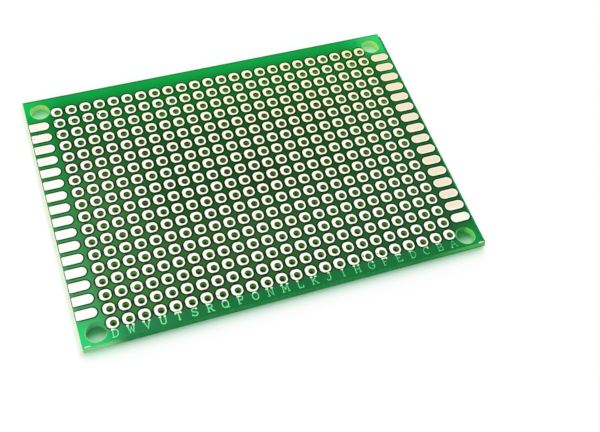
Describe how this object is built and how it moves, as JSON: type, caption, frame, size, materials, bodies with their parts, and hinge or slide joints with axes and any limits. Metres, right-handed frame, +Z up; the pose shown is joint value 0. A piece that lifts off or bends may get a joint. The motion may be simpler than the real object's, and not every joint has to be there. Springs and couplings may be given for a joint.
{
  "type": "prototype board",
  "caption": "Single-sided green prototype board with a grid of tinned round pads, oblong pads along both ends and mounting holes at the corners.",
  "frame": {"origin": "centre of the underside", "axes": "+X along the board towards the end where column A is, +Y across it away from the index letters, +Z up out of the pad side"},
  "size_m": [0.0698, 0.0502, 0.0016],
  "materials": {
    "laminate": "bare glass-epoxy laminate, pale yellow-green, rough and fibrous where it was snapped",
    "mask_top": "glossy green solder mask over bare laminate",
    "mask_bottom": "glossy green solder mask, printed white",
    "tinned_pads": "bright hot-air-levelled solder over copper",
    "tinned_end_pads": "bright hot-air-levelled solder over copper, slightly creamier",
    "printed_ink": "white screen-printed ink on the underside, in the visual model only"
  },
  "bodies": {
    "root": {"laminate": "laminate", "mask_top": "mask_top", "mask_bottom": "mask_bottom", "pads_column_a": "tinned_pads", "pads_column_b": "tinned_pads", "pads_column_c": "tinned_pads", "pads_column_d": "tinned_pads", "pads_column_e": "tinned_pads", "pads_column_f": "tinned_pads", "pads_column_g": "tinned_pads", "pads_column_h": "tinned_pads", "pads_column_i": "tinned_pads", "pads_column_j": "tinned_pads", "pads_column_k": "tinned_pads", "pads_column_l": "tinned_pads", "pads_column_m": "tinned_pads", "pads_column_n": "tinned_pads", "pads_column_o": "tinned_pads", "pads_column_p": "tinned_pads", "pads_column_q": "tinned_pads", "pads_column_r": "tinned_pads", "pads_column_s": "tinned_pads", "pads_column_t": "tinned_pads", "pads_column_u": "tinned_pads", "pads_column_v": "tinned_pads", "pads_column_w": "tinned_pads", "pads_column_x": "tinned_pads", "end_pads_left": "tinned_end_pads", "end_pads_right": "tinned_end_pads", "corner_marks": "tinned_end_pads"}
  },
  "joints": []
}
